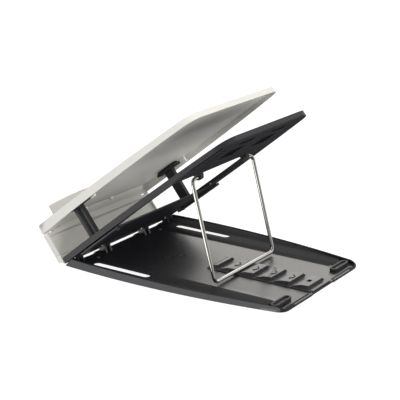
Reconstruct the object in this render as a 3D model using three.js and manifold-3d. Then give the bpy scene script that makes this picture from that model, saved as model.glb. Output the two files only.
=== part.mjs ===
// Laptop stand: a dark tray with a tilting shelf held up by a wire bail, and a light lid raised on two posts.
// Millimetres, +X to the user's right, +Y from the hinge edge to the rear, +Z up.
// Origin: on the desk, below the middle of the whole stand.
import * as THREE from "three";
import { mergeVertices } from "three/addons/utils/BufferGeometryUtils.js";
import Module from "manifold-3d";

const wasm = await Module();
wasm.setup();

// Driving dimensions
const TRAY_DEPTH = 360;
const RIM_FRONT = 13.4;
const RIM_SLOPE = 0.015;
const FLOOR = 3;
const TILT = THREE.MathUtils.degToRad(38.3);
const LIFTED = THREE.MathUtils.degToRad(43.6);
const HINGE = { y: 12.9, z: 13.4 };
const FOOT_DROP = 0.6;
const GAP = 0.3;
const SHELF_BACK = 331;
const RAIL_HEIGHT = 9;
const RAIL_WIDTH = 7;
const PLATE_FRONT = 229;
const PLATE_THICK = 2.4;
const WALL_OUT = -28;
const WALL_IN = -18.2;
const WALL_TOP = 54.4;
const COVER_LOW = 55.2;
const COVER_TOP = 69;
const COVER_TAPER = 0.0169;
const COVER_BACK = 306;
const COVER_FRONT = -27;
const COVER_SKIN = 2.4;
const LID_AXIS = { s: -25.2, r: 54.9 };
const POST = { front: 43, rear: 60, shelf: 58, top: 62.4 };
const BAIL = { s: 226.2, r: -3.7, leg: 148, wire: 5.4, stub: 21 };
const BAIL_LEAN = THREE.MathUtils.degToRad(15.1);
const BAIL_HALF = 79;
const RIDGE = { front: 183, rear: 357, half: 20, foot: 27, top: 9, low: 5.6 };
const NOTCHES = [200.3, 231, 261, 290.5, 320.5, 350.5];
const NOTCH_FLOOR = 4.6;
const LEDGE = { s: -12.6, low: 69.6, top: 89.3, crown: 5, thick: 3, half: 98 };
const PIN = 4;

// Half width of the tray and of everything stacked on it, at depth y from the front edge
const halfWidth = (y) => 127.96 + 0.0846 * y - 0.000397 * y * y;
// The same outline measured along the tilted shelf from the hinge axis
const SHELF_SHIFT = 18.4;
const shelfHalf = (s) => halfWidth(s + SHELF_SHIFT);
// Height of the lid's top face, which falls a little to the rear
const lidTop = (s) => COVER_TOP - COVER_TAPER * (s + 20);

const material = (color, roughness, metalness) => new THREE.MeshStandardMaterial({ color, roughness, metalness });
const LOOK = {
  dark: [0x2b2c31, 0.42, 0],
  light: [0xe4e4e0, 0.45, 0],
  chrome: [0xd8d8d8, 0.12, 1],
  steel: [0xa9abad, 0.3, 1],
  rubber: [0x17171a, 0.85, 0],
};

// A geometry as a solid, its shared corners merged
function solid(geometry) {
  geometry.deleteAttribute("normal");
  geometry.deleteAttribute("uv");
  const merged = mergeVertices(geometry, 1e-4);
  return new wasm.Manifold(
    new wasm.Mesh({
      numProp: 3,
      vertProperties: new Float32Array(merged.attributes.position.array),
      triVerts: new Uint32Array(merged.index.array),
    }),
  );
}

// A closed outline in XY raised from z0 to z1
function slab(points, z0, z1) {
  const shape = new THREE.Shape(points.map(([x, y]) => new THREE.Vector2(x, y)));
  const geometry = new THREE.ExtrudeGeometry(shape, { depth: z1 - z0, bevelEnabled: false });
  return solid(geometry.translate(0, 0, z0));
}

// A closed outline in YZ carried from x0 to x1
function bar(points, x0, x1) {
  const shape = new THREE.Shape(points.map(([y, z]) => new THREE.Vector2(y, z)));
  const geometry = new THREE.ExtrudeGeometry(shape, { depth: x1 - x0, bevelEnabled: false });
  const turn = new THREE.Matrix4().makeBasis(
    new THREE.Vector3(0, 1, 0),
    new THREE.Vector3(0, 0, 1),
    new THREE.Vector3(1, 0, 0),
  );
  return solid(geometry.applyMatrix4(turn).translate(x0, 0, 0));
}

// A closed outline in XZ carried from y0 to y1
function rail(points, y0, y1) {
  const shape = new THREE.Shape(points.map(([x, z]) => new THREE.Vector2(x, -z)));
  const geometry = new THREE.ExtrudeGeometry(shape, { depth: y1 - y0, bevelEnabled: false });
  const turn = new THREE.Matrix4().makeBasis(
    new THREE.Vector3(1, 0, 0),
    new THREE.Vector3(0, 0, -1),
    new THREE.Vector3(0, 1, 0),
  );
  return solid(geometry.applyMatrix4(turn).translate(0, y0, 0));
}

const box = (x0, x1, y0, y1, z0, z1) =>
  solid(new THREE.BoxGeometry(x1 - x0, y1 - y0, z1 - z0).translate((x0 + x1) / 2, (y0 + y1) / 2, (z0 + z1) / 2));

// A round bar along X
function rod(radius, x0, x1, y, z, sides = 20) {
  const geometry = new THREE.CylinderGeometry(radius, radius, x1 - x0, sides);
  return solid(geometry.rotateZ(Math.PI / 2).translate((x0 + x1) / 2, y, z));
}

// A round bar along Z
function post(radius, x, y, z0, z1, sides = 20) {
  const geometry = new THREE.CylinderGeometry(radius, radius, z1 - z0, sides);
  return solid(geometry.rotateX(Math.PI / 2).translate(x, y, (z0 + z1) / 2));
}

// A round bar along Y
function stem(radius, x, y0, y1, z, sides = 20) {
  return solid(new THREE.CylinderGeometry(radius, radius, y1 - y0, sides).translate(x, (y0 + y1) / 2, z));
}

// A stadium in XY, long along X or along Y
function stadium(x, y, length, width, alongY = false) {
  const points = [];
  const r = width / 2;
  for (let i = 0; i < 14; i++) {
    const turn = (Math.PI * (i % 7)) / 6 + (i < 7 ? -Math.PI / 2 : Math.PI / 2);
    const end = (i < 7 ? 1 : -1) * (length / 2 - r);
    const u = end + r * Math.cos(turn);
    const v = r * Math.sin(turn);
    points.push(alongY ? [x - v, y + u] : [x + u, y + v]);
  }
  return points;
}

const join = (first, ...rest) => rest.reduce((sum, next) => sum.add(next), first);
const cut = (first, ...rest) => rest.reduce((left, next) => left.subtract(next), first);

// Symmetric plan outline with curved sides and rounded corners, `inset` inside the common outline
function plan(half, inset, front, rear, rFront, rRear) {
  const right = [];
  const corner = (x0, y0, cx, cy, x1, y1, steps) => {
    for (let i = 0; i <= steps; i++) {
      const a = i / steps;
      const b = 1 - a;
      right.push([b * b * x0 + 2 * a * b * cx + a * a * x1, b * b * y0 + 2 * a * b * cy + a * a * y1]);
    }
  };
  const w = (y) => half(y) - inset;
  corner(w(front) - rFront, front, w(front), front, w(front + rFront), front + rFront, 4);
  const steps = 14;
  for (let i = 1; i < steps; i++) {
    const y = front + rFront + ((rear - rRear - front - rFront) * i) / steps;
    right.push([w(y), y]);
  }
  corner(w(rear - rRear), rear - rRear, w(rear), rear, w(rear) - rRear, rear, 8);
  return [...right, ...right.map(([x, y]) => [-x, y]).reverse()];
}

function part(name, look, manifold, group) {
  const { vertProperties, triVerts } = manifold.getMesh();
  const geometry = new THREE.BufferGeometry();
  geometry.setAttribute("position", new THREE.BufferAttribute(new Float32Array(vertProperties), 3));
  geometry.setIndex(new THREE.BufferAttribute(new Uint32Array(triVerts), 1));
  const flat = geometry.toNonIndexed();
  flat.computeVertexNormals();
  const mesh = new THREE.Mesh(flat, material(...LOOK[look]));
  mesh.name = name;
  group.add(mesh);
  return mesh;
}

const SIDES = [
  ["right", 1],
  ["left", -1],
];
const mirror = (points, side) => (side > 0 ? points : points.map(([x, y]) => [-x, y]).reverse());
const span = (side, a, b) => (side > 0 ? [a, b] : [-b, -a]);

// Places: the tray lies flat, and the shelf group is turned about the hinge axis
const stand = new THREE.Group();
const base = new THREE.Group();
const shelf = new THREE.Group();
shelf.position.set(0, HINGE.y, HINGE.z);
shelf.rotation.x = TILT;
const lid = new THREE.Group();
lid.position.set(0, LID_AXIS.s, LID_AXIS.r);
shelf.add(lid);
const bail = new THREE.Group();
bail.position.set(0, BAIL.s, BAIL.r);
bail.rotation.x = BAIL_LEAN - TILT;
shelf.add(bail);
const flap = new THREE.Group();
flap.position.set(0, LEDGE.s - LID_AXIS.s, LEDGE.low + 2 - LID_AXIS.r);
lid.add(flap);
stand.add(base, shelf);

// ---- Tray: shallow open box, curved sides stepping down to a flat floor ----
const rimTop = (y) => RIM_FRONT - RIM_SLOPE * y;
const STATIONS = [49, 113];
const LUG_HALF = 7.2;
const KNUCKLE_HALF = 3.4;
const KNUCKLE_RADIUS = 4.8;
const LUG_RADIUS = 4.6;
const SCREWS = [[78, 22], [-78, 22]];
const LUG = { near: 61, far: 105, y: 340, width: 12, top: 7.6 };
const LUG_SCREWS = [[67, LUG.y], [-67, LUG.y], [99, LUG.y], [-99, LUG.y]];
const FEET = [[62, 24], [-62, 24], [84, 338], [-84, 338]];
{
  const wall = 2.6;
  const over = 30;
  const rearDip = 346;
  const rearRim = 4.6;
  // The outside turns under in two small facets
  const layer = (inset, z0, z1) => slab(plan(halfWidth, inset, 0, TRAY_DEPTH - inset, 2, 13), z0, z1);
  let tray = join(layer(0, 1.9, RIM_FRONT + 1), layer(0.8, 0.6, 1.9), layer(1.9, 0, 0.6));
  const sky = [
    [-over, rimTop(-over)],
    [rearDip, rimTop(rearDip)],
    [TRAY_DEPTH, rearRim],
    [TRAY_DEPTH + over, rearRim],
    [TRAY_DEPTH + over, over],
    [-over, over],
  ];
  tray = tray.subtract(bar(sky, -200, 200));
  tray = tray.subtract(slab(plan(halfWidth, wall, wall, TRAY_DEPTH - wall, 4, 11), FLOOR, over));
  // Two steps climb from the floor to the rim along each side
  const keep = slab(plan(halfWidth, 1, 10, 333, 3, 20), 0.5, over);
  for (const [, side] of SIDES) {
    const steps = [
      [80, 1],
      [80, FLOOR],
      [88, FLOOR + 2.6],
      [112.5, FLOOR + 2.6],
      [118.5, FLOOR + 5],
      [128, FLOOR + 8],
      [140, FLOOR + 8],
      [140, 1],
    ];
    const ramp = rail(mirror(steps, side), 10, 333)
      .intersect(keep)
      .subtract(bar(sky.map(([y, z]) => [y, z - 1.2]), -200, 200));
    tray = tray.add(ramp);
  }
  // The side steps are a thin shell around their long slots, hollow below
  for (const [, side] of SIDES) {
    const hollow = [
      [84, -1],
      [84, 1.6],
      [88.6, 3.6],
      [113, 3.6],
      [119, 6],
      [140, 6],
      [140, -1],
    ];
    const room = slab(plan(halfWidth, 3.4, 15, 152, 3, 3), -1, over);
    tray = tray.subtract(rail(mirror(hollow, side), 15, 152).intersect(room));
  }
  // Long slots through the side steps
  for (const [, side] of SIDES) tray = tray.subtract(slab(stadium(side * 104.5, 87, 100, 13, true), -1, over));
  // The front edge is open between the hinge stations
  const frontCuts = [
    [-36.5, 36.5],
    [62.4, 102.1],
    [-102.1, -62.4],
  ];
  for (const [a, b] of frontCuts) tray = tray.subtract(box(a, b, -1, 6.2, -1, over));
  // Finger notch in the rear edge, and the groove just inside the rear rim
  tray = tray.subtract(box(-32, 30, TRAY_DEPTH - 2.8, TRAY_DEPTH + 1, -1, over));
  for (const [a, b] of [[-93, -34], [32, 93]]) tray = tray.subtract(box(a, b, 352.4, 355.4, 1.6, over));
  // The front is cut back under the shelf's front rail, with room to lift
  const under = [
    [HINGE.y + 0.6, HINGE.z - 0.4],
    [HINGE.y - 20, HINGE.z - 0.4 - 20.6 * Math.tan(LIFTED)],
    [HINGE.y - 20, over],
    [HINGE.y + 0.6, over],
  ];
  tray = tray.subtract(bar(under, -200, 200));
  // Hinge lugs in pairs, rounded about the hinge axis
  for (const [, side] of SIDES) {
    for (const x of STATIONS) {
      for (const [a, b] of [[x - LUG_HALF, x - KNUCKLE_HALF - GAP], [x + KNUCKLE_HALF + GAP, x + LUG_HALF]]) {
        const [x0, x1] = span(side, a, b);
        const cheek = [
          [HINGE.y - 6.5, FLOOR - 1],
          [HINGE.y - LUG_RADIUS, HINGE.z - 1],
          [HINGE.y + LUG_RADIUS, HINGE.z - 1],
          [HINGE.y + 9, FLOOR - 1],
        ];
        tray = join(tray, bar(cheek, x0, x1), rod(LUG_RADIUS, x0, x1, HINGE.y, HINGE.z));
      }
    }
  }
  for (const [, side] of SIDES) {
    for (const x of STATIONS) {
      const [x0, x1] = span(side, x - LUG_HALF - 1, x + LUG_HALF + 1);
      // The shelf knuckle turns in a rounded hollow between its two lugs
      const [k0, k1] = span(side, x - KNUCKLE_HALF - GAP, x + KNUCKLE_HALF + GAP);
      tray = cut(tray, rod(PIN / 2 + GAP, x0, x1, HINGE.y, HINGE.z));
      tray = cut(tray, rod(KNUCKLE_RADIUS + 0.6, k0, k1, HINGE.y, HINGE.z, 28));
    }
  }
  // Bores for the screws in the floor and pockets for the feet
  for (const [x, y] of SCREWS) tray = cut(tray, post(1.9, x, y, 1.2, 20), post(3.4, x, y, FLOOR, 20));
  for (const [x, y] of LUG_SCREWS) tray = cut(tray, post(1.7, x, y, -1, 20), post(3.3, x, y, -1, 1.5));
  for (const [x, y] of FEET) tray = tray.subtract(post(6.3, x, y, -1, 0.9));
  part("base_tray", "dark", tray, base);
}

// Ratchet ridge: six cross notches for the bail rod; each tooth rises to the rear
{
  const z0 = FLOOR + GAP;
  const profile = [
    [RIDGE.front, z0],
    [RIDGE.rear, z0],
    [RIDGE.rear, RIDGE.low],
  ];
  const half = 2.6;
  const wide = 3.4;
  for (const y of [...NOTCHES].reverse()) {
    profile.push([y + half, RIDGE.low], [y + half - 0.4, NOTCH_FLOOR], [y - wide, NOTCH_FLOOR], [y - wide, RIDGE.top]);
    if (y !== NOTCHES[0]) {
      const previous = NOTCHES[NOTCHES.indexOf(y) - 1];
      profile.push([previous + half + 11, RIDGE.top - 0.6]);
    }
  }
  profile.push([RIDGE.front + 8, RIDGE.top - 1], [RIDGE.front, z0 + 1.2]);
  let ridge = bar(profile, -RIDGE.foot, RIDGE.foot);
  // Outside the notches the flanks fall away to the floor
  for (const [, side] of SIDES) {
    const flank = [
      [RIDGE.half, 30],
      [RIDGE.half, RIDGE.top - 0.4],
      [RIDGE.foot - 1.5, z0 + 1.4],
      [RIDGE.foot, z0 + 1],
      [60, z0 + 1],
      [60, 30],
    ];
    ridge = ridge.subtract(rail(mirror(flank, side), 150, 400));
  }
  // Window in the last tooth
  ridge = ridge.subtract(box(-4, 4, 334, 340, 0, 30));
  part("ratchet_ridge", "dark", ridge, base);
}

// Raised lugs at the rear corners, hollowed on top and bored from below for their screws
for (const [name, side] of SIDES) {
  const middle = (side * (LUG.near + LUG.far)) / 2;
  const length = LUG.far - LUG.near;
  let lug = slab(stadium(middle, LUG.y, length, LUG.width), FLOOR + GAP, LUG.top);
  lug = lug.subtract(slab(stadium(middle, LUG.y, length - 6, LUG.width - 6), LUG.top - 2, 20));
  for (const [x, y] of LUG_SCREWS) lug = lug.subtract(post(1.6, x, y, 0, 5));
  part(`rear_lug_${name}`, "dark", lug, base);
}

// Rubber feet, let into the underside
FEET.forEach(([x, y], i) => {
  part(`foot_${i + 1}`, "rubber", post(6, x, y, -FOOT_DROP, 0.9 - GAP, 24), base);
});

// Screws in the floor
SCREWS.forEach(([x, y], i) => {
  const head = post(2.9, x, y, FLOOR + GAP, FLOOR + GAP + 1.2, 16);
  const shank = post(1.5, x, y, 1.5, FLOOR + GAP + 0.5, 12);
  const recess = box(x - 1.6, x + 1.6, y - 0.3, y + 0.3, FLOOR + GAP + 0.7, 20);
  part(`tray_screw_${i + 1}`, "steel", cut(join(head, shank), recess), base);
});

// Screws from below that hold the lugs
LUG_SCREWS.forEach(([x, y], i) => {
  const head = post(2.9, x, y, 0.3, 1.5 - GAP, 16);
  const shank = post(1.3, x, y, 1, 4.7, 12);
  part(`lug_screw_${i + 1}`, "steel", join(head, shank), base);
});

// Hinge pins between tray and shelf
for (const [name, side] of SIDES) {
  STATIONS.forEach((x, i) => {
    const [x0, x1] = span(side, x - LUG_HALF + 0.5, x + LUG_HALF - 0.5);
    part(`hinge_pin_${name}_${i + 1}`, "steel", rod(PIN / 2, x0, x1, HINGE.y, HINGE.z), base);
  });
}

// ---- Shelf: one dark frame, rails all round, a front plate and a rear plate with an open window between ----
const POST_X = [109.7, 117.3];
const STUB_IN = BAIL_HALF - BAIL.stub;
const WALL_SCREWS = [24, 84];
{
  const outline = (inset, a, b, r) => plan(shelfHalf, inset, a, b, 4, r);
  const low = -16.6;
  let frame = slab(outline(0, low, SHELF_BACK, 24), 0, RAIL_HEIGHT);
  frame = frame.subtract(slab(outline(RAIL_WIDTH, low + 5, SHELF_BACK - 6, 19), PLATE_THICK, 30));
  // Open window between the front plate and the rear plate
  const window = [
    [-118, 92],
    [118, 92],
    [121.5, 160],
    [119, PLATE_FRONT],
    [-119, PLATE_FRONT],
    [-121.5, 160],
  ];
  frame = cut(frame, slab(window, -1, 30));
  // Clearance over the tray's lugs
  for (const [, side] of SIDES) {
    for (const x of STATIONS) {
      const [x0, x1] = span(side, x - LUG_HALF - 0.8, x + LUG_HALF + 0.8);
      frame = cut(frame, box(x0, x1, -8, 11, -1, 30));
    }
  }
  // Knuckles that take the hinge pins, each on a bridge at the rear of its clearance
  for (const [, side] of SIDES) {
    for (const x of STATIONS) {
      const [x0, x1] = span(side, x - KNUCKLE_HALF, x + KNUCKLE_HALF);
      const arm = [
        [-1, -KNUCKLE_RADIUS],
        [3, -KNUCKLE_RADIUS + 1],
        [14, 0.4],
        [14, RAIL_HEIGHT - 2],
        [0, KNUCKLE_RADIUS],
      ];
      frame = join(frame, bar(arm, x0, x1), rod(KNUCKLE_RADIUS, x0, x1, 0, 0, 24));
      frame = cut(frame, rod(PIN / 2 + GAP, x0 - 1, x1 + 1, 0, 0));
    }
  }
  // Ribs across the rear plate
  for (const s of [248, 300]) frame = frame.add(box(-104, 104, s, s + 2, PLATE_THICK - 0.5, 7));
  // Blind louvres under the rear plate, slanted at the corners and long in the middle
  const skin = PLATE_THICK - 0.8;
  for (const [, side] of SIDES) {
    for (let i = 0; i < 6; i++) {
      const s = 266 + i * 7;
      const vent = [
        [82, s],
        [100, s + 6],
        [100, s + 9.4],
        [82, s + 3.4],
      ];
      frame = frame.subtract(slab(mirror(vent, side), -1, skin));
    }
    const [a, b] = span(side, 22, 62);
    frame = frame.subtract(box(a, b, 266, 294, -1, skin));
    frame = frame.subtract(box(a, b, 306, 316, -1, skin));
  }
  // Bail pivots: a saddle under the plate on each side, with a blind bore for the bent end of the wire
  for (const [, side] of SIDES) {
    const [x0, x1] = span(side, STUB_IN - 2, STUB_IN + 6);
    const [b0, b1] = span(side, STUB_IN - GAP, STUB_IN + 8);
    const saddle = [
      [BAIL.s - 5, BAIL.r - 1],
      [BAIL.s - 3, BAIL.r - 4],
      [BAIL.s + 3, BAIL.r - 4],
      [BAIL.s + 5, BAIL.r - 1],
      [BAIL.s + 8, 1],
      [BAIL.s - 0.2, 1],
      [BAIL.s - 5.4, 0.2],
    ];
    const pad = box(x0, x1, BAIL.s - 5.4, BAIL.s + 12, 0, PLATE_THICK);
    frame = join(frame, bar(saddle, x0, x1), pad);
    frame = cut(frame, rod(BAIL.wire / 2 + GAP, b0, b1, BAIL.s, BAIL.r, 24));
  }
  // Screw bores for the strips and for the front wall
  for (const [, side] of SIDES) {
    for (const s of [30, 102]) frame = frame.subtract(post(1.6, side * 121.5, s, -1, 7));
  }
  for (const [, side] of SIDES) for (const x of WALL_SCREWS) frame = frame.subtract(stem(1.5, side * x, -30, -8, 5));
  part("shelf_frame", "dark", frame, shelf);
}

// Side strips under the rails, stepped at the rear end
for (const [name, side] of SIDES) {
  const edge = (s) => shelfHalf(s) - 2.2;
  const points = [];
  const [a, b] = [22, 110];
  for (let i = 0; i <= 8; i++) {
    const s = a + ((b - a) * i) / 8;
    points.push([edge(s), s]);
  }
  points.push([edge(b) - 4, b + 3], [edge(b) - 12, b + 3], [edge(b) - 12, a - 3], [edge(a) - 4, a - 3]);
  let strip = slab(mirror(points, side), -4.6, -1.5);
  for (const s of [30, 102]) {
    strip = strip.add(post(3.2, side * 121.5, s, -2, -GAP));
    strip = strip.subtract(post(1.6, side * 121.5, s, -10, 5));
  }
  part(`side_strip_${name}`, "dark", strip, shelf);
  [30, 102].forEach((s, i) => {
    const head = post(2.7, side * 121.5, s, -6, -4.6 - GAP, 16);
    const shank = post(1.3, side * 121.5, s, -5.2, 5, 12);
    part(`strip_screw_${name}_${i + 1}`, "steel", join(head, shank), shelf);
  });
}

// Posts: channel sections on the front plate, each with a bracket on top that reaches up into the lid
const BRACKET = { near: 103, far: 118, front: 32, rear: 75 };
for (const [name, side] of SIDES) {
  const [x0, x1] = span(side, ...POST_X);
  let column = box(x0, x1, POST.front, POST.rear, PLATE_THICK + GAP, POST.shelf + 1);
  const [c0, c1] = side > 0 ? [x1 - 2.2, x1 + 1] : [x0 - 1, x0 + 2.2];
  column = column.subtract(box(c0, c1, POST.front + 6, POST.front + 7.4, 8, POST.shelf - 4));
  column = column.subtract(box(c0, c1, POST.front + 8.8, POST.rear - 1.4, 6, POST.shelf - 2));
  const [f0, f1] = span(side, BRACKET.near, BRACKET.far);
  column = column.add(box(f0, f1, BRACKET.front, BRACKET.rear, POST.shelf, POST.top));
  part(`post_${name}`, "dark", column, shelf);
  // Soft pad on the bracket, where the lid comes down
  const [p0, p1] = span(side, BRACKET.near + 2, BRACKET.far - 2);
  const pad = box(p0, p1, BRACKET.front + 2, BRACKET.rear - 2, POST.top + GAP, POST.top + 2.2);
  part(`post_pad_${name}`, "rubber", pad, shelf);
}

// Front wall: a tall light panel with a seam line inside and end cheeks
const LID_KNUCKLES = [
  [86, 96, "wall"],
  [96.4, 106.4, "lid"],
];
const LID_BARREL = 2.7;
const LID_PIN = 1.2;
const LEDGE_PIN = 1;
const LEDGE_EARS = [30, 88];
const barrelHalves = (kind) => LID_KNUCKLES.filter((k) => k[2] === kind);
{
  const section = [
    [WALL_OUT, 7.6],
    [WALL_OUT + 1.6, 5.8],
    [WALL_OUT + 4, 4.3],
    [WALL_IN + 0.4, 0.4],
    [WALL_IN + 0.4, 14],
    [WALL_IN - 5.6, 17],
    [WALL_IN - 5.6, WALL_TOP - 8],
    [WALL_IN - 1, WALL_TOP - 6],
    [WALL_IN - 1, WALL_TOP],
    [WALL_OUT + 3.6, WALL_TOP],
    [WALL_OUT, WALL_TOP - 4.2],
  ];
  let wall = bar(section, -126, 126);
  wall = wall.intersect(slab(plan(shelfHalf, 1.4, -40, 20, 3, 4), -20, 80));
  // End cheeks stiffen the inside of the panel
  for (const x of [-124.6, 122.2]) {
    wall = wall.add(box(x, x + 2.4, WALL_OUT + 3, WALL_IN - 0.6, 12, WALL_TOP - 5));
  }
  for (const [, side] of SIDES) {
    for (const [a, b] of barrelHalves("wall")) {
      const [x0, x1] = span(side, a, b);
      wall = join(wall, rod(LID_BARREL, x0, x1, LID_AXIS.s, LID_AXIS.r), box(x0, x1, WALL_OUT + 1, -20, 50, WALL_TOP));
    }
    for (const [a, b] of barrelHalves("lid")) {
      const [x0, x1] = span(side, a - 0.4, b + 0.4);
      wall = cut(wall, rod(LID_BARREL + 0.5, x0, x1, LID_AXIS.s, LID_AXIS.r, 24));
    }
    const [q0, q1] = span(side, 85, 108);
    wall = cut(wall, rod(LID_PIN + GAP, q0, q1, LID_AXIS.s, LID_AXIS.r));
  }
  for (const [, side] of SIDES) for (const x of WALL_SCREWS) wall = wall.subtract(stem(1.5, side * x, -22.4, 0, 5));
  // Low cut-outs at the top of the panel
  for (const [a, b] of [[-120, -107.5], [107.5, 120]]) {
    wall = wall.subtract(box(a, b, WALL_OUT - 1, WALL_IN + 5, WALL_TOP - 2.4, 80));
  }
  part("front_wall", "light", wall, shelf);
}
// The wall is held to the shelf's front rail by screws
for (const [name, side] of SIDES) {
  WALL_SCREWS.forEach((x, i) => {
    const head = stem(2.6, side * x, -11.6 + GAP, -10, 5, 16);
    const shank = stem(1.2, side * x, -22, -11, 5, 12);
    part(`wall_screw_${name}_${i + 1}`, "steel", join(head, shank), shelf);
  });
}

// Pins of the lid hinge
for (const [name, side] of SIDES) {
  const [x0, x1] = span(side, 86.5, 106);
  part(`lid_pin_${name}`, "steel", rod(LID_PIN, x0, x1, LID_AXIS.s, LID_AXIS.r, 16), shelf);
}

// ---- Lid: a light panel with a turned-down rim; it thins to the rear ----
const lidLocal = (manifold) => manifold.translate([0, -LID_AXIS.s, -LID_AXIS.r]);
{
  const w = (s) => shelfHalf(Math.max(s, -18.4)) + 0.4;
  let cover = slab(plan(w, 0, COVER_FRONT, COVER_BACK, 5, 24), COVER_LOW, COVER_TOP);
  // Everything above the given face, as a tool that reaches past the lid on all sides
  const reach = 40;
  const above = (face) => [
    [COVER_FRONT - reach, face(COVER_FRONT - reach)],
    [COVER_BACK + reach, face(COVER_BACK + reach)],
    [COVER_BACK + reach, COVER_TOP + reach],
    [COVER_FRONT - reach, COVER_TOP + reach],
  ];
  cover = cover.subtract(bar(above(lidTop), -200, 200));
  const under = (s) => lidTop(s) - COVER_SKIN;
  const hollow = slab(plan(w, 3, COVER_FRONT + 3.2, COVER_BACK - 3, 4, 22), 0, COVER_TOP);
  cover = cover.subtract(hollow.subtract(bar(above(under), -200, 200)));
  // Rounded front edge
  const nose = [
    [COVER_FRONT - 5, COVER_TOP - 8],
    [COVER_FRONT, COVER_TOP - 8],
    [COVER_FRONT + 0.6, COVER_TOP - 5.4],
    [COVER_FRONT + 1.9, COVER_TOP - 3.1],
    [COVER_FRONT + 4, COVER_TOP - 1.3],
    [COVER_FRONT + 6.6, COVER_TOP - 0.2],
    [COVER_FRONT + 8.4, COVER_TOP + 0.1],
    [COVER_FRONT + 8.4, COVER_TOP + 5],
    [COVER_FRONT - 5, COVER_TOP + 5],
  ];
  cover = cover.subtract(bar(nose, -200, 200));
  // Inside the panel: a sloped fillet along the front edge, hooks and half-round tabs
  const skirt = [
    [COVER_FRONT + 3, COVER_LOW + 2.6],
    [COVER_FRONT + 3, COVER_TOP - 2],
    [COVER_FRONT + 13, COVER_TOP - 2],
    [COVER_FRONT + 13, COVER_TOP - 3.2],
  ];
  cover = cover.add(bar(skirt, -118, 118));
  for (const [, side] of SIDES) {
    const tab = stem(4.4, side * 32, -13, -10, under(-10), 24);
    cover = cover.add(tab.intersect(box(-60, 60, -14, -9, COVER_LOW, under(-10) + 0.5)));
    for (const [h, s] of [[112, 84]]) {
      const [h0, h1] = span(side, h, h + 3);
      cover = join(cover, box(h0, h1, s, s + 7, under(s) - 9, under(s) + 0.5));
      const [g0, g1] = span(side, h, h + 6);
      cover = join(cover, box(g0, g1, s, s + 7, under(s) - 10.5, under(s) - 8.5));
    }
  }
  // Room for the wall's barrels, then the lid's own
  for (const [, side] of SIDES) {
    for (const [a, b] of barrelHalves("wall")) {
      const [x0, x1] = span(side, a - 0.4, b + 0.4);
      cover = cover.subtract(rod(LID_BARREL + 0.5, x0, x1, LID_AXIS.s, LID_AXIS.r, 24));
    }
    for (const [a, b] of barrelHalves("lid")) {
      const [x0, x1] = span(side, a, b);
      const web = box(x0, x1, COVER_FRONT + 0.6, COVER_FRONT + 3.4, LID_AXIS.r, COVER_LOW + 3);
      cover = join(cover, rod(LID_BARREL, x0, x1, LID_AXIS.s, LID_AXIS.r), web);
    }
    const [q0, q1] = span(side, 85, 108);
    cover = cover.subtract(rod(LID_PIN + GAP, q0, q1, LID_AXIS.s, LID_AXIS.r));
  }
  // Brackets for the ledge
  for (const [, side] of SIDES) {
    for (const x of LEDGE_EARS) {
      const [x0, x1] = span(side, x - 3, x + 3);
      const ear = [
        [LEDGE.s - 3.4, COVER_TOP - 1],
        [LEDGE.s + 3.4, COVER_TOP - 1],
        [LEDGE.s + 2.6, LEDGE.low + 3.6],
        [LEDGE.s - 2.6, LEDGE.low + 3.6],
      ];
      cover = cover.add(bar(ear, x0, x1));
      cover = cover.subtract(rod(LEDGE_PIN + GAP, x0 - 1, x1 + 1, LEDGE.s, LEDGE.low + 2));
    }
  }
  part("cover", "light", lidLocal(cover), lid);
  // Non-slip pads for the laptop
  [[78, 60], [-78, 60], [78, 250], [-78, 250]].forEach(([x, s], i) => {
    const flat = slab(stadium(0, 0, 40, 8), GAP, 1.3);
    const pad = flat.rotate([-THREE.MathUtils.radToDeg(Math.atan(COVER_TAPER)), 0, 0]);
    part(`grip_pad_${i + 1}`, "rubber", lidLocal(pad.translate([x, s, lidTop(s)])), lid);
  });
}

// Ledge: the light plate that stops the laptop; it folds back flat on the lid
{
  const low = -1.6;
  const t = LEDGE.thick / 2;
  const high = LEDGE.top + LEDGE.crown - LEDGE.low - 2;
  const section = [
    [-t, 1.4],
    [-0.9, low],
    [0.9, low],
    [t, 1.4],
    [t, high],
    [-t, high],
  ];
  // Its top edge is crowned: highest in the middle
  const outline = [[-LEDGE.half, -5], [LEDGE.half, -5]];
  for (let i = 0; i <= 24; i++) {
    const x = LEDGE.half * (1 - i / 12);
    const fall = LEDGE.crown * (x / LEDGE.half) ** 2;
    outline.push([x, high - fall]);
  }
  let ledge = bar(section, -LEDGE.half, LEDGE.half).intersect(rail(outline, -5, 5));
  for (const [, side] of SIDES) {
    for (const x of LEDGE_EARS) {
      const [b0, b1] = span(side, x - 10, x + 10);
      const [x0, x1] = span(side, x - 3.4, x + 3.4);
      const [p0, p1] = span(side, x - 8, x + 8);
      ledge = join(ledge, rod(2.3, b0, b1, 0, 0));
      ledge = cut(ledge, box(x0, x1, -6, 6, -6, 4.4), rod(LEDGE_PIN + GAP, p0, p1, 0, 0, 16));
    }
  }
  part("ledge", "light", ledge, flap);
  for (const [name, side] of SIDES) {
    LEDGE_EARS.forEach((x, i) => {
      const [x0, x1] = span(side, x - 7.6, x + 7.6);
      part(`ledge_pin_${name}_${i + 1}`, "steel", rod(LEDGE_PIN, x0, x1, 0, 0, 14), flap);
    });
  }
}

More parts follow.
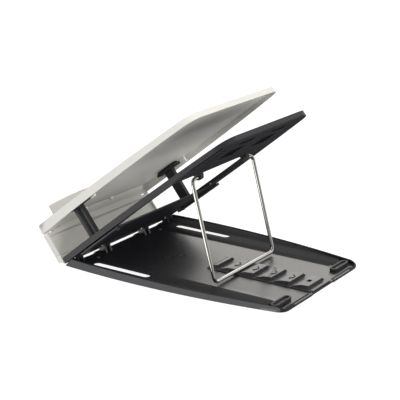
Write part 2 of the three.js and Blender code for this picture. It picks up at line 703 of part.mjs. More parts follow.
// ---- Bail: one bent wire, two legs and a bottom rod, with ends turned inward ----
{
  const corner = 8;
  const half = BAIL_HALF;
  const path = new THREE.CurvePath();
  const down = -BAIL.leg;
  const v = (x, z) => new THREE.Vector3(x, 0, z);
  const bend = 4.4;
  path.add(new THREE.LineCurve3(v(-STUB_IN, 0), v(-half + bend, 0)));
  path.add(new THREE.QuadraticBezierCurve3(v(-half + bend, 0), v(-half, 0), v(-half, -bend)));
  path.add(new THREE.LineCurve3(v(-half, -bend), v(-half, down + corner)));
  path.add(new THREE.QuadraticBezierCurve3(v(-half, down + corner), v(-half, down), v(-half + corner, down)));
  path.add(new THREE.LineCurve3(v(-half + corner, down), v(half - corner, down)));
  path.add(new THREE.QuadraticBezierCurve3(v(half - corner, down), v(half, down), v(half, down + corner)));
  path.add(new THREE.LineCurve3(v(half, down + corner), v(half, -bend)));
  path.add(new THREE.QuadraticBezierCurve3(v(half, -bend), v(half, 0), v(half - bend, 0)));
  path.add(new THREE.LineCurve3(v(half - bend, 0), v(STUB_IN, 0)));
  const radius = BAIL.wire / 2;
  const sides = 12;
  const points = [];
  for (const curve of path.curves) {
    const steps = curve.isLineCurve3 ? 1 : 5;
    for (let i = 0; i < steps; i++) points.push(curve.getPoint(i / steps));
  }
  points.push(path.curves.at(-1).getPoint(1));
  // Rings square to the wire, in the plane of the loop, closed at both ends
  const ring = [];
  points.forEach((p, i) => {
    const before = points[Math.max(i - 1, 0)];
    const after = points[Math.min(i + 1, points.length - 1)];
    const along = after.clone().sub(before).normalize();
    const side = new THREE.Vector3(0, 1, 0);
    const across = side.clone().cross(along).normalize();
    ring.push(
      [...Array(sides).keys()].map((k) => {
        const a = (2 * Math.PI * k) / sides;
        return p
          .clone()
          .addScaledVector(across, radius * Math.cos(a))
          .addScaledVector(side, radius * Math.sin(a));
      }),
    );
  });
  const positions = [];
  const face = (...corners) => corners.forEach((c) => positions.push(c.x, c.y, c.z));
  for (let i = 0; i + 1 < ring.length; i++) {
    for (let k = 0; k < sides; k++) {
      const n = (k + 1) % sides;
      face(ring[i][k], ring[i][n], ring[i + 1][n]);
      face(ring[i][k], ring[i + 1][n], ring[i + 1][k]);
    }
  }
  const last = ring.length - 1;
  for (let k = 0; k < sides; k++) {
    const n = (k + 1) % sides;
    face(points[0], ring[0][n], ring[0][k]);
    face(points[last], ring[last][k], ring[last][n]);
  }
  const geometry = new THREE.BufferGeometry();
  geometry.setAttribute("position", new THREE.Float32BufferAttribute(positions, 3));
  part("bail", "chrome", solid(geometry), bail);
}

// The whole stand moves so that its origin lies on the desk below its middle
stand.updateMatrixWorld(true);
const bounds = new THREE.Box3().setFromObject(stand, true);
const centre = bounds.getCenter(new THREE.Vector3());
stand.position.set(-centre.x, -centre.y, -bounds.min.z);

export default stand;
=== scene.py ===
import bmesh
import bpy
from math import cos, radians, sin
from mathutils import Matrix, Vector


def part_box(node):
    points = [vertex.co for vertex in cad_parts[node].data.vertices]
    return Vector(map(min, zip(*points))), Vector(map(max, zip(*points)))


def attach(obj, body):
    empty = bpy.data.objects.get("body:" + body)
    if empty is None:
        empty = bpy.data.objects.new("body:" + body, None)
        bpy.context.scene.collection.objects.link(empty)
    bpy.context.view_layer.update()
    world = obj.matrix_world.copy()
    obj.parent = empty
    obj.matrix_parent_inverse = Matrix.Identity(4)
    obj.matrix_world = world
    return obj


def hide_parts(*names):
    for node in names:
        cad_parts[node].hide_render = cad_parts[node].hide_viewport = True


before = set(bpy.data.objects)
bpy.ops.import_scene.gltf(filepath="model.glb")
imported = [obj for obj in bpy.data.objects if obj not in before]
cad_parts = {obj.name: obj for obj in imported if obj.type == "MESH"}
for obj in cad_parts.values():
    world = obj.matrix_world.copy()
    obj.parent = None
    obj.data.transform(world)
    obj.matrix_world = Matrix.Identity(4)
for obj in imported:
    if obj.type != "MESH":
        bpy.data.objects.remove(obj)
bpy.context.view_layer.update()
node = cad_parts

# ---- Room: a plain pale table top and soft studio light ----
# The stand is set down on a white surface in a light tent. Lamps stand behind it, at its near side and
# overhead. Two more on the viewer's side light it without showing in its gloss.
scene = bpy.context.scene
scene.view_settings.view_transform = "Standard"
scene.world = bpy.data.worlds.new("tent")
scene.world.use_nodes = True
tent = scene.world.node_tree
look = tent.nodes.new("ShaderNodeTexCoord").outputs["Generated"]


def glow(way, start, end, dim, bright):
    """A soft pool of light on the tent's wall, brightest towards one direction."""
    toward = tent.nodes.new("ShaderNodeVectorMath")
    toward.operation = "DOT_PRODUCT"
    toward.inputs[1].default_value = Vector(way).normalized()
    level = tent.nodes.new("ShaderNodeMapRange")
    level.interpolation_type = "SMOOTHSTEP"
    for title, value in (("From Min", start), ("From Max", end), ("To Min", dim), ("To Max", bright)):
        level.inputs[title].default_value = value
    tent.links.new(look, toward.inputs[0])
    tent.links.new(toward.outputs["Value"], level.inputs["Value"])
    return level.outputs[0]


def product(first, second, operation="MULTIPLY"):
    joined = tent.nodes.new("ShaderNodeMath")
    joined.operation = operation
    tent.links.new(first, joined.inputs[0])
    tent.links.new(second, joined.inputs[1])
    return joined.outputs[0]


behind = glow((-0.83, -0.56, 0), -0.8, 0.7, 0.3, 1.0)
above_table = glow((0, 0, 1), -0.4, 0.02, 0.14, 1.0)
back_wall = product(behind, above_table)
beside = glow((0.79, -0.53, -0.31), 0.72, 0.98, 0.0, 2.6)
below_table = glow((0, 0, -1), 0.0, 0.12, 0.0, 1.0)
near_wall = product(beside, below_table)
tent.nodes["Background"].inputs["Color"].default_value = (1.0, 0.975, 0.94, 1)
tent.links.new(product(back_wall, near_wall, "ADD"), tent.nodes["Background"].inputs["Strength"])

bpy.ops.mesh.primitive_plane_add(size=40)
table = bpy.context.object
table.name = "table_top"
table_paint = bpy.data.materials.new("white_table")
table_paint.use_nodes = True
paint = table_paint.node_tree.nodes["Principled BSDF"]
paint.inputs["Base Color"].default_value = (0.3, 0.3, 0.3, 1)
paint.inputs["Roughness"].default_value = 0.9
paint.inputs["Specular IOR Level"].default_value = 0.0
paint.inputs["Emission Color"].default_value = (1, 1, 1, 1)
paint.inputs["Emission Strength"].default_value = 0.86
table.data.materials.append(table_paint)
table.visible_glossy = False


def lamp(name, place, wide, tall, watts, tint):
    light = bpy.data.lights.new(name, "AREA")
    light.shape = "RECTANGLE"
    light.size = wide
    light.size_y = tall
    light.energy = watts
    light.color = tint
    body = bpy.data.objects.new(name, light)
    body.location = place
    aim = Vector((0, 0, 0.1)) - Vector(place)
    body.rotation_euler = aim.to_track_quat("-Z", "Y").to_euler()
    scene.collection.objects.link(body)
    return body


lamp("lamp_behind", (-2.3, -1.5, 1.15), 3.4, 1.5, 14, (1.0, 0.96, 0.91))
lamp("lamp_side", (2.2, -0.9, 0.9), 1.0, 1.0, 8.5, (0.96, 0.98, 1.0))
lamp("lamp_above", (0.0, 0.0, 2.4), 2.2, 2.2, 6, (0.98, 0.99, 1.0))
fill = lamp("lamp_rear", (0.3, 1.9, 1.6), 1.4, 1.0, 20, (1.0, 0.975, 0.95))
fill.visible_glossy = False
fill.data.use_shadow = False
lamp("lamp_low", (0.9, 2.3, 0.3), 1.6, 0.6, 38, (1.0, 0.98, 0.95)).visible_glossy = False

eye = bpy.data.cameras.new("eye")
eye.sensor_width = 36
eye.lens = 108.36
eye.shift_x = -0.0091
eye.shift_y = 0.0418
eye.clip_end = 100
viewer = bpy.data.objects.new("eye", eye)
viewer.location = (1.38864, 0.939525, 0.61586)
yaw, pitch = radians(33.87), radians(18.05)
gaze = Vector((-cos(yaw) * cos(pitch), -sin(yaw) * cos(pitch), -sin(pitch)))
viewer.rotation_euler = gaze.to_track_quat("-Z", "Y").to_euler()
scene.collection.objects.link(viewer)
scene.camera = viewer

# ---- Tray: the flat base that stands on the desk ----
# One injection moulding in black polystyrene. Its floor is polished to a satin sheen, and the stepped
# sides are spark-eroded to a matt grain, so they look darker than the floor.
mm = 0.001
front_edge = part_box("ratchet_ridge")[0].y - 183 * mm
desk_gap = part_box("base_tray")[0].z


def tray_point(x, y, z):
    """A place in the tray, in mm from its front edge and its underside."""
    return Vector((x * mm, y * mm + front_edge, z * mm + desk_gap))


def remake(name, source, round_mm, shortest_mm=3, fold=28):
    """A moulded piece with its edges rounded, made from the exact solid of the frame.

    Edges shorter than shortest_mm or folded by less than fold degrees stay as they are. The radius is lowered
    until the skin no longer folds over itself in tight corners.
    """
    welded = 2e-6
    least_crease = radians(12)
    may_grow = 1.003
    sharp = bmesh.new()
    sharp.from_mesh(node[source].data)
    bmesh.ops.remove_doubles(sharp, verts=sharp.verts, dist=welded)
    bmesh.ops.dissolve_degenerate(sharp, edges=sharp.edges, dist=welded)
    area = sum(face.calc_area() for face in sharp.faces)
    flat = {"angle_limit": radians(0.6), "use_dissolve_boundaries": False}
    bmesh.ops.dissolve_limit(sharp, verts=sharp.verts, edges=sharp.edges, **flat)
    settings = {"offset_type": "OFFSET", "segments": 3, "profile": 0.5, "affect": "EDGES",
                "clamp_overlap": False, "loop_slide": False, "miter_outer": "ARC"}
    for share in (1, 0.75, 0.55, 0.4, 0.25):
        work = sharp.copy()
        creases = [edge for edge in work.edges if edge.is_manifold and edge.calc_face_angle(0) > least_crease]
        chosen = [edge for edge in creases
                  if edge.calc_face_angle(0) > radians(fold) and edge.calc_length() > shortest_mm * mm]
        for edge in creases:
            edge.smooth = False
        for edge in chosen:
            edge.smooth = True
        bmesh.ops.bevel(work, geom=chosen, offset=round_mm * share * mm, **settings)
        bmesh.ops.triangulate(work, faces=work.faces, ngon_method="BEAUTY")
        bmesh.ops.dissolve_degenerate(work, edges=work.edges, dist=welded)
        bmesh.ops.triangulate(work, faces=work.faces)
        if sum(face.calc_area() for face in work.faces) < may_grow * area:
            break
        work.free()
    sharp.free()
    for face in work.faces:
        face.smooth = True
    mesh = bpy.data.meshes.new(name)
    work.to_mesh(mesh)
    work.free()
    piece = bpy.data.objects.new(name, mesh)
    scene.collection.objects.link(piece)
    shading = piece.modifiers.new("shading", "WEIGHTED_NORMAL")
    shading.keep_sharp = True
    return piece


def settle(piece, body, slot, material, *nodes):
    """Gives a piece its finish and its body, and says which solids it stands for."""
    piece.data.materials.clear()
    piece.data.materials.append(material)
    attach(piece, body)
    if nodes:
        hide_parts(*nodes)


class Wire:
    """A socket of a material; arithmetic on it adds Math nodes."""

    def __init__(self, socket):
        self.socket = socket

    def math(self, operation, first, second):
        tree = self.socket.id_data
        added = tree.nodes.new("ShaderNodeMath")
        added.operation = operation
        for entry, value in zip(added.inputs, (first, second)):
            if isinstance(value, Wire):
                tree.links.new(value.socket, entry)
            else:
                entry.default_value = value
        return Wire(added.outputs[0])

    def __add__(self, other):
        return self.math("ADD", self, other)

    def __radd__(self, other):
        return self.math("ADD", other, self)

    def __sub__(self, other):
        return self.math("SUBTRACT", self, other)

    def __rsub__(self, other):
        return self.math("SUBTRACT", other, self)

    def __mul__(self, other):
        return self.math("MULTIPLY", self, other)

    def __rmul__(self, other):
        return self.math("MULTIPLY", other, self)

    def __abs__(self):
        return self.math("ABSOLUTE", self, 0.0)


class Finish:
    """A material with one Principled shader, whose constant values stand on its own sockets."""

    def __init__(self, name, constants):
        self.material = bpy.data.materials.new(name)
        self.material.use_nodes = True
        self.tree = self.material.node_tree
        self.shader = self.tree.nodes["Principled BSDF"]
        for socket, value in constants.items():
            self.shader.inputs[socket].default_value = value
        self.place = self.add("ShaderNodeTexCoord", {}, {}, "Object")

    def add(self, kind, settings, sockets, output=0):
        added = self.tree.nodes.new(kind)
        for key, value in settings.items():
            setattr(added, key, value)
        for key, value in sockets.items():
            if isinstance(value, Wire):
                self.tree.links.new(value.socket, added.inputs[key])
            else:
                added.inputs[key].default_value = value
        return Wire(added.outputs[output])

    def axes(self):
        """The object's own x, y and z."""
        parts = self.add("ShaderNodeSeparateXYZ", {}, {0: self.place})
        return [parts] + [Wire(parts.socket.node.outputs[i]) for i in (1, 2)]

    def noise(self, scale, detail=2.0):
        settings = {"noise_dimensions": "3D"}
        sockets = {"Vector": self.place, "Scale": scale, "Detail": detail}
        return self.add("ShaderNodeTexNoise", settings, sockets)

    def between(self, factor, first, second):
        """A colour that goes from first to second."""
        added = self.tree.nodes.new("ShaderNodeMix")
        added.data_type = "RGBA"
        self.tree.links.new(factor.socket, added.inputs[0])
        for entry, value in ((6, first), (7, second)):
            if isinstance(value, Wire):
                self.tree.links.new(value.socket, added.inputs[entry])
            else:
                added.inputs[entry].default_value = (*value, 1)
        return Wire(added.outputs[2])

    def smooth(self, value, low, high):
        """0 below low, 1 above high, eased between."""
        settings = {"interpolation_type": "SMOOTHSTEP"}
        return self.add("ShaderNodeMapRange", settings, {"Value": value, "From Min": low, "From Max": high})

    def grain(self, height, depth_mm, strength):
        sockets = {"Height": height, "Distance": depth_mm * mm, "Strength": strength}
        self.feed("Normal", self.add("ShaderNodeBump", {}, sockets))

    def feed(self, socket, value):
        self.tree.links.new(value.socket, self.shader.inputs[socket])


satin = Finish("black_satin_tray", {
    "Specular IOR Level": 0.2, "Coat Roughness": 0.27, "Coat IOR": 1.6})
across, along, upward = satin.axes()
side_band = satin.smooth(abs(across), 0.0775, 0.081)
rear_shelf = satin.smooth(along, front_edge + 0.324, front_edge + 0.329)
raised = satin.smooth(upward, desk_gap + 0.0034, desk_gap + 0.0044)
polished = (1 - side_band) + side_band * rear_shelf * (1 - raised)
cloud = satin.noise(14, 3)
fine = satin.noise(1700, 3)
coarse = satin.noise(420, 2)
depth = (along - front_edge) * (1 / mm)
half_width = 127.96 + depth * (0.0846 - 0.000397 * depth)
outer_wall_painted_sheen = satin.smooth(abs(across) * (1 / mm) - half_width, -1.3, -0.7)
plain = satin.between(cloud, (0.010, 0.011, 0.0135), (0.018, 0.019, 0.022))
# Painted sheen: the tray's outer side wall gets a lighter grey base colour, standing in for the light it
# catches from beside the stand.
satin.feed("Base Color", satin.between(outer_wall_painted_sheen, plain, (0.075, 0.077, 0.083)))
satin.feed("Roughness", 0.58 + 0.12 * cloud + 0.1 * coarse - 0.1 * polished)
satin.feed("Coat Weight", polished * (0.82 + 0.18 * cloud))
satin.grain(fine + 0.6 * coarse, 0.05, 0.22)

tray = remake("tray", "base_tray", 0.3, 2, 50)
settle(tray, "tray", "dark_plastic", satin.material, "base_tray")

# ---- Ratchet ridge: the row of notches that holds the wire ----
# A separate black moulding, pressed on the tray's floor. Each tooth has a small raised curved mark on top,
# which shows where a finger pushes the wire.


def moulded_black(name):
    """The finish of a black moulding, with its colour and roughness for a piece that varies them."""
    finish = Finish(name, {"Specular IOR Level": 0.26, "Coat Roughness": 0.3, "Coat IOR": 1.5})
    cloud = finish.noise(18, 3)
    fine = finish.noise(1500, 3)
    coarse = finish.noise(380, 2)
    colour = finish.between(cloud, (0.012, 0.0125, 0.015), (0.021, 0.022, 0.026))
    rough = 0.4 + 0.14 * cloud + 0.1 * coarse
    finish.feed("Base Color", colour)
    finish.feed("Roughness", rough)
    finish.feed("Coat Weight", 0.08 + 0.14 * cloud)
    finish.grain(fine + 0.6 * coarse, 0.05, 0.17)
    return finish, colour, rough


black, _, _ = moulded_black("black_moulded")
ridge = remake("ratchet_ridge_piece", "ratchet_ridge", 0.6, 2, 75)
settle(ridge, "tray", "dark_plastic", satin.material, "ratchet_ridge")


class Grower:
    """Builds a Geometry Nodes tree with named inputs and puts it on an object."""

    def __init__(self, name, sizes):
        self.tree = bpy.data.node_groups.new(name, "GeometryNodeTree")
        self.tree.interface.new_socket("Carrier", in_out="INPUT", socket_type="NodeSocketGeometry")
        for title, value in sizes.items():
            entry = self.tree.interface.new_socket(title, in_out="INPUT", socket_type="NodeSocketFloat")
            entry.default_value = value
        self.tree.interface.new_socket("Piece", in_out="OUTPUT", socket_type="NodeSocketGeometry")
        self.inputs = self.tree.nodes.new("NodeGroupInput")
        self.given = {socket.name: socket for socket in self.inputs.outputs}

    def add(self, kind, settings, sockets, output=0):
        added = self.tree.nodes.new(kind)
        for key, value in settings.items():
            setattr(added, key, value)
        for key, value in sockets.items():
            for one in value if isinstance(value, list) else [value]:
                if isinstance(one, bpy.types.NodeSocket):
                    self.tree.links.new(one, added.inputs[key])
                else:
                    added.inputs[key].default_value = one
        return added.outputs[output]

    def finish(self, geometry, material):
        whole = self.add("GeometryNodeRealizeInstances", {}, {"Geometry": geometry})
        painted = self.add("GeometryNodeSetMaterial", {}, {"Geometry": whole, "Material": material})
        end = self.tree.nodes.new("NodeGroupOutput")
        self.tree.links.new(painted, end.inputs[0])

    def grow(self, name, points, sizes, axes=None):
        """Runs the tree on loose points and returns the result as a plain mesh object."""
        carrier = bpy.data.meshes.new(name + "_points")
        carrier.from_pydata([tuple(point) for point in points], [], [])
        if axes:
            store = carrier.attributes.new("axis", "FLOAT_VECTOR", "POINT")
            for entry, axis in zip(store.data, axes):
                entry.vector = axis
        seed = bpy.data.objects.new(name + "_seed", carrier)
        scene.collection.objects.link(seed)
        growth = seed.modifiers.new("growth", "NODES")
        growth.node_group = self.tree
        for item in self.tree.interface.items_tree:
            if item.in_out == "INPUT" and item.name in sizes:
                growth[item.identifier] = sizes[item.name]
        view = bpy.context.evaluated_depsgraph_get()
        mesh = bpy.data.meshes.new_from_object(seed.evaluated_get(view))
        seed.modifiers.remove(growth)
        bpy.data.objects.remove(seed)
        mesh.name = name
        piece = bpy.data.objects.new(name, mesh)
        scene.collection.objects.link(piece)
        return piece


# A half ring of thin round moulding, open to the hinge side
mark = Grower("finger_mark", {"Radius": 0.005, "Thickness": 0.0005})
arc = mark.add("GeometryNodeCurveArc", {}, {
    "Resolution": 13, "Radius": mark.given["Radius"],
    "Start Angle": radians(20), "Sweep Angle": radians(140)})
bead = mark.add("GeometryNodeCurvePrimitiveCircle", {}, {"Resolution": 8, "Radius": mark.given["Thickness"]})
swept = mark.add("GeometryNodeCurveToMesh", {}, {"Curve": arc, "Profile Curve": bead, "Fill Caps": True})
placed = mark.add("GeometryNodeInstanceOnPoints", {}, {"Points": mark.given["Carrier"], "Instance": swept})
mark.finish(placed, black.material)
notches = (200.3, 231, 261, 290.5, 320.5)
spots = [tray_point(0, y + 15, 8.7) for y in notches[:-1]]
marks = mark.grow("ridge_marks", spots, {"Radius": 0.0075, "Thickness": 0.0009})
settle(marks, "tray", "dark_plastic", black.material)

# ---- Rear lugs: two hollow raised stops at the tray's rear corners ----
# Black mouldings, each held from below by two screws; the shelf comes down between them when it is flat.
for side in ("right", "left"):
    lug = remake(f"rear_stop_{side}", f"rear_lug_{side}", 0.5)
    settle(lug, "tray", "dark_plastic", black.material, f"rear_lug_{side}")

# ---- Feet: four soft discs under the tray ----
# Black rubber, pressed into round pockets, with a rounded lower edge.
rubber = Finish("black_rubber", {"Specular IOR Level": 0.3})
speck = rubber.noise(900, 4)
rubber.feed("Base Color", rubber.between(rubber.noise(30), (0.012, 0.012, 0.013), (0.024, 0.024, 0.025)))
rubber.feed("Roughness", 0.74 + 0.18 * speck)
rubber.grain(speck, 0.06, 0.4)
for number in range(1, 5):
    foot = remake(f"rubber_foot_{number}", f"foot_{number}", 0.35, 1)
    settle(foot, "tray", "rubber", rubber.material, f"foot_{number}")

# ---- Screws: small pan-head screws with a cross recess ----
# Zinc-plated steel, threaded into moulded bosses: two in the tray's floor, two under each rear lug, two in
# each side strip and four along the front wall.
zinc = Finish("zinc_steel", {"Metallic": 1.0, "Specular IOR Level": 0.5})
brushed = zinc.noise(700, 3)
zinc.feed("Base Color", zinc.between(zinc.noise(90), (0.42, 0.43, 0.45), (0.62, 0.62, 0.62)))
zinc.feed("Roughness", 0.26 + 0.2 * brushed)
zinc.grain(brushed, 0.02, 0.2)

screw = Grower("cross_screw", {
    "Head radius": 0.0029, "Head height": 0.0012, "Shank radius": 0.0013, "Length": 0.004})
radius = screw.given["Head radius"]
height = screw.given["Head height"]


def scaled(tree, value, factor):
    return tree.add("ShaderNodeMath", {"operation": "MULTIPLY"}, {0: value, 1: factor})


def offset(tree, geometry, z):
    shift = tree.add("ShaderNodeCombineXYZ", {}, {2: z})
    return tree.add("GeometryNodeTransform", {}, {"Geometry": geometry, "Translation": shift})


crown = screw.add("GeometryNodeMeshUVSphere", {}, {"Segments": 24, "Rings": 12, "Radius": radius})
squat = screw.add("ShaderNodeCombineXYZ", {}, {
    0: 1.0, 1: 1.0, 2: screw.add("ShaderNodeMath", {"operation": "DIVIDE"}, {0: height, 1: radius})})
crown = screw.add("GeometryNodeTransform", {}, {"Geometry": crown, "Scale": squat})
below = screw.add("GeometryNodeMeshCube", {}, {"Size": screw.add("ShaderNodeCombineXYZ", {}, {
    0: 0.02, 1: 0.02, 2: 0.02})})
below = offset(screw, below, -0.01)
crown = screw.add("GeometryNodeMeshBoolean", {"operation": "DIFFERENCE", "solver": "EXACT"}, {
    "Mesh 1": crown, "Mesh 2": below})
arms = []
for turned in (False, True):
    long, thin = scaled(screw, radius, 1.1), scaled(screw, radius, 0.24)
    size = screw.add("ShaderNodeCombineXYZ", {}, {
        0: thin if turned else long, 1: long if turned else thin, 2: height})
    arm = screw.add("GeometryNodeMeshCube", {}, {"Size": size})
    arms.append(offset(screw, arm, scaled(screw, height, 0.95)))
cross = screw.add("GeometryNodeMeshBoolean", {"operation": "UNION", "solver": "EXACT"}, {"Mesh 2": arms})
head = screw.add("GeometryNodeMeshBoolean", {"operation": "DIFFERENCE", "solver": "EXACT"}, {
    "Mesh 1": crown, "Mesh 2": cross})
shank = screw.add("GeometryNodeMeshCylinder", {}, {
    "Vertices": 16, "Radius": screw.given["Shank radius"], "Depth": screw.given["Length"]})
shank = offset(screw, shank, scaled(screw, screw.given["Length"], -0.48))
whole = screw.add("GeometryNodeJoinGeometry", {}, {"Geometry": [head, shank]})
axis = screw.add("GeometryNodeInputNamedAttribute", {"data_type": "FLOAT_VECTOR"}, {"Name": "axis"})
turn = screw.add("FunctionNodeAlignRotationToVector", {"axis": "Z"}, {"Vector": axis})
placed = screw.add("GeometryNodeInstanceOnPoints", {}, {
    "Points": screw.given["Carrier"], "Instance": whole, "Rotation": turn})
screw.finish(placed, zinc.material)

tilt = radians(38.3)
hinge = (12.9, 13.4)


def shelf_point(x, s, r):
    """A place on the tilted shelf, in mm along it and square to it from the hinge's axis."""
    return tray_point(x, hinge[0] + s * cos(tilt) - r * sin(tilt), hinge[1] + s * sin(tilt) + r * cos(tilt))


def shelf_way(s, r):
    return Vector((0, s * cos(tilt) - r * sin(tilt), s * sin(tilt) + r * cos(tilt)))


floor_screws = screw.grow("floor_screws", [tray_point(x, 22, 3.3) for x in (78, -78)], {
    "Head radius": 0.0029, "Head height": 0.0012, "Shank radius": 0.0015, "Length": 0.0018},
    [(0, 0, 1)] * 2)
settle(floor_screws, "tray", "steel", zinc.material, "tray_screw_1", "tray_screw_2")
lug_screws = screw.grow("lug_screws", [tray_point(x, 340, 1.2) for x in (67, -67, 99, -99)], {
    "Head radius": 0.0029, "Head height": 0.0009, "Shank radius": 0.0013, "Length": 0.0034},
    [(0, 0, -1)] * 4)
settle(lug_screws, "tray", "steel", zinc.material, *(f"lug_screw_{i}" for i in range(1, 5)))
spots = [shelf_point(x, s, -4.9) for x in (121.5, -121.5) for s in (30, 102)]
strip_screws = screw.grow("strip_screws", spots, {
    "Head radius": 0.0027, "Head height": 0.0011, "Shank radius": 0.0013, "Length": 0.0098},
    [shelf_way(0, -1)] * 4)
names = [f"strip_screw_{side}_{i}" for side in ("right", "left") for i in (1, 2)]
settle(strip_screws, "shelf", "steel", zinc.material, *names)
wall_screws = screw.grow("wall_screws", [shelf_point(x, -11.3, 5) for x in (24, 84, -24, -84)], {
    "Head radius": 0.0026, "Head height": 0.0013, "Shank radius": 0.0012, "Length": 0.0106},
    [shelf_way(1, 0)] * 4)
names = [f"wall_screw_{side}_{i}" for side in ("right", "left") for i in (1, 2)]
settle(wall_screws, "shelf", "steel", zinc.material, *names)

# ---- Hinge pins: the short axles of the shelf, the lid and the ledge ----
# Drawn steel wire cut to length, with rounded ends, pushed through the moulded knuckles.
pin = Grower("round_pin", {"Radius": 0.002, "Length": 0.013})
span = scaled(pin, pin.given["Length"], 0.5)
back = scaled(pin, pin.given["Length"], -0.5)
line = pin.add("GeometryNodeCurvePrimitiveLine", {}, {
    "Start": pin.add("ShaderNodeCombineXYZ", {}, {0: back}),
    "End": pin.add("ShaderNodeCombineXYZ", {}, {0: span})})
line = pin.add("GeometryNodeResampleCurve", {}, {"Curve": line, "Count": 25})
factor = pin.add("GeometryNodeSplineParameter", {}, {})
middle = pin.add("ShaderNodeMath", {"operation": "SUBTRACT"}, {0: factor, 1: 0.5})
reach = pin.add("ShaderNodeMath", {"operation": "ABSOLUTE"}, {0: middle})
taper = pin.add("ShaderNodeMapRange", {}, {
    "Value": reach, "From Min": 0.46, "From Max": 0.5, "To Min": 1.0, "To Max": 0.7})
width = pin.add("ShaderNodeMath", {"operation": "MULTIPLY"}, {0: taper, 1: pin.given["Radius"]})
ring = pin.add("GeometryNodeCurvePrimitiveCircle", {}, {"Resolution": 20, "Radius": 1.0})
body = pin.add("GeometryNodeCurveToMesh", {}, {
    "Curve": line, "Profile Curve": ring, "Scale": width, "Fill Caps": True})
placed = pin.add("GeometryNodeInstanceOnPoints", {}, {"Points": pin.given["Carrier"], "Instance": body})
pin.finish(placed, zinc.material)

stations = (49, 113)
spots = [shelf_point(x * side, 0, 0) for side in (1, -1) for x in stations]
tray_pins = pin.grow("shelf_hinge_pins", spots, {"Radius": 0.002, "Length": 0.0134})
names = [f"hinge_pin_{side}_{i}" for side in ("right", "left") for i in (1, 2)]
settle(tray_pins, "tray", "steel", zinc.material, *names)
lid_pins = pin.grow("lid_hinge_pins", [shelf_point(x, -25.2, 54.9) for x in (96.25, -96.25)], {
    "Radius": 0.0012, "Length": 0.0195})
settle(lid_pins, "shelf", "steel", zinc.material, "lid_pin_right", "lid_pin_left")
ledge_pins = pin.grow("ledge_hinge_pins", [shelf_point(x, -12.6, 71.6) for x in (30, 88, -30, -88)], {
    "Radius": 0.001, "Length": 0.0152})
names = [f"ledge_pin_{side}_{i}" for side in ("right", "left") for i in (1, 2)]
settle(ledge_pins, "ledge", "steel", zinc.material, *names)

# ---- Shelf: the tilting frame that carries everything above ----
# A black moulding with rails all round and an open window in the middle. Its knuckles turn on the tray's
# pins, and two saddles under its rear plate hold the ends of the wire. The plate's underside is duller than
# the rest, and inside its louvres it is painted near-black as painted shade.
louvred, colour, rough = moulded_black("black_louvred")
_, y, z = louvred.axes()
pivot = tray_point(0, *hinge)
square = ((z - pivot.z) * cos(tilt) - (y - pivot.y) * sin(tilt)) * (1 / mm)
reach = ((z - pivot.z) * sin(tilt) + (y - pivot.y) * cos(tilt)) * (1 / mm)
plate_start, rows_start, rows_end = 230, 262, 318
below_plate = (1 - louvred.smooth(square, 1.9, 2.1)) * louvred.smooth(reach, plate_start, plate_start + 4)
pocket_painted_shade = below_plate * louvred.smooth(square, 0.4, 0.9) * louvred.smooth(reach, rows_start, rows_start + 2)
pocket_painted_shade = pocket_painted_shade * (1 - louvred.smooth(reach, rows_end, rows_end + 2))
# Painted shade: inside the louvre pockets the colour goes near-black, standing in for the shade that falls in
# them.
louvred.feed("Base Color", louvred.between(pocket_painted_shade, colour, (0.002, 0.002, 0.0025)))
louvred.feed("Roughness", rough + 0.2 * below_plate + 0.3 * pocket_painted_shade)
louvred.feed("Coat Weight", 0.15 - 0.15 * below_plate)
shelf = remake("shelf", "shelf_frame", 0.5)
settle(shelf, "shelf", "dark_plastic", louvred.material, "shelf_frame")

# ---- Side strips: two stepped runners under the shelf's rails ----
# Black mouldings that fill the gap to the tray when the stand is closed, held by two screws each.
for side in ("right", "left"):
    strip = remake(f"runner_{side}", f"side_strip_{side}", 0.4)
    settle(strip, "shelf", "dark_plastic", black.material, f"side_strip_{side}")

# ---- Posts: two channel sections that hold up the lid ----
# Black mouldings clipped to the front plate, each with a bracket on top and a rubber pad where the lid lands.
for side in ("right", "left"):
    column = remake(f"channel_post_{side}", f"post_{side}", 0.4)
    settle(column, "shelf", "dark_plastic", black.material, f"post_{side}")
    cushion = remake(f"landing_pad_{side}", f"post_pad_{side}", 0.5)
    settle(cushion, "shelf", "rubber", rubber.material, f"post_pad_{side}")

# ---- Front wall: the light panel below the lid's front edge ----
# A light warm grey moulding with a fine eroded texture, screwed to the shelf's front rail.
shell = Finish("light_shell", {"Specular IOR Level": 0.45, "Subsurface Weight": 0.0})
cloud = shell.noise(9, 3)
fine = shell.noise(1300, 3)
coarse = shell.noise(300, 2)
shell.feed("Base Color", shell.between(cloud, (0.58, 0.573, 0.555), (0.65, 0.643, 0.62)))
shell.feed("Roughness", 0.3 + 0.1 * cloud + 0.08 * coarse)
shell.grain(fine + 0.5 * coarse, 0.04, 0.11)
wall = remake("front_panel", "front_wall", 0.5)
settle(wall, "shelf", "light_plastic", shell.material, "front_wall")

# ---- Lid: the large light panel that the laptop lies on ----
# The same light moulding, hollow below, with a turned-down rim, and with hooks and half-round
# tabs inside. It turns on two pins in the front wall.
lid = remake("lid_panel", "cover", 0.5)
settle(lid, "lid", "light_plastic", shell.material, "cover")

# ---- Grip pads: four soft strips on the lid ----
# Black rubber with rounded edges, glued on so that the laptop doesn't slide.
for number in range(1, 5):
    pad = remake(f"grip_strip_{number}", f"grip_pad_{number}", 0.45, 1)
    settle(pad, "lid", "rubber", rubber.material, f"grip_pad_{number}")

# ---- Ledge: the upright plate that stops the laptop ----
# A light moulding on short steel pins; it folds down flat on the lid when it isn't needed.
ledge = remake("stop_ledge", "ledge", 0.5)
settle(ledge, "ledge", "light_plastic", shell.material, "ledge")

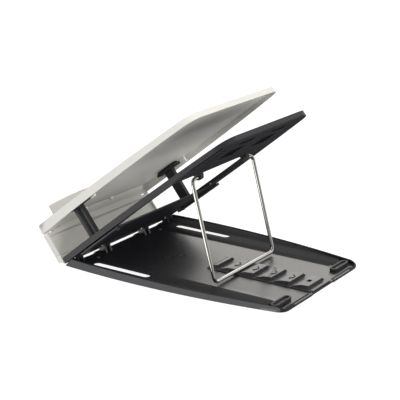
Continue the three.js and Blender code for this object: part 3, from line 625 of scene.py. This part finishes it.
# ---- Bail: the bent wire that props the shelf ----
# Bright chromed steel wire 5.4 mm thick. It is bent to a loop with its two ends turned inward into the
# shelf's saddles, and its bottom run stands in a notch of the ridge.
chrome = Finish("bright_chrome", {"Metallic": 1.0})
smear = chrome.noise(160, 3)
chrome.feed("Base Color", chrome.between(chrome.noise(40), (0.5, 0.495, 0.48), (0.68, 0.675, 0.66)))
chrome.feed("Roughness", 0.04 + 0.05 * smear)
chrome.grain(chrome.noise(500, 2), 0.01, 0.1)

wire = Grower("bent_wire", {
    "Thickness": 0.0054, "Leg": 0.148, "Half width": 0.079, "Stub": 0.021, "Corner": 0.007})
half = wire.given["Half width"]
low = scaled(wire, wire.given["Leg"], -1)
inner = wire.add("ShaderNodeMath", {"operation": "SUBTRACT"}, {0: half, 1: wire.given["Stub"]})
stops = [(inner, 0.0), (half, 0.0), (half, low)]
stops += [(scaled(wire, x, -1), z) for x, z in reversed(stops)]
path = wire.add("GeometryNodeCurvePrimitiveLine", {}, {"Start": (0, 0, 0), "End": (1, 0, 0)})
path = wire.add("GeometryNodeResampleCurve", {}, {"Curve": path, "Count": 6})
index = wire.add("GeometryNodeInputIndex", {}, {})
for number, (x, z) in enumerate(stops):
    spot = wire.add("ShaderNodeCombineXYZ", {}, {0: x, 2: z})
    settings = {"data_type": "INT", "operation": "EQUAL"}
    chosen = wire.add("FunctionNodeCompare", settings, {2: index, 3: number})
    path = wire.add("GeometryNodeSetPosition", {}, {"Geometry": path, "Selection": chosen, "Position": spot})
path = wire.add("GeometryNodeFilletCurve", {"mode": "POLY"}, {
    "Curve": path, "Radius": wire.given["Corner"], "Count": 10, "Limit Radius": True})
round_bar = wire.add("GeometryNodeCurvePrimitiveCircle", {}, {
    "Resolution": 32, "Radius": scaled(wire, wire.given["Thickness"], 0.5)})
bent = wire.add("GeometryNodeCurveToMesh", {}, {"Curve": path, "Profile Curve": round_bar, "Fill Caps": True})
placed = wire.add("GeometryNodeInstanceOnPoints", {}, {"Points": wire.given["Carrier"], "Instance": bent})
wire.finish(placed, chrome.material)
bail = wire.grow("bail_wire", [(0, 0, 0)], {
    "Thickness": 0.0054, "Leg": 0.148, "Stub": 0.021, "Corner": 0.0075})
lean = Matrix.Rotation(radians(15.1), 4, "X")
bail.data.transform(Matrix.Translation(shelf_point(0, 226.2, -3.7)) @ lean)
for polygon in bail.data.polygons:
    polygon.use_smooth = len(polygon.vertices) == 4
settle(bail, "bail", "chrome_wire", chrome.material, "bail")
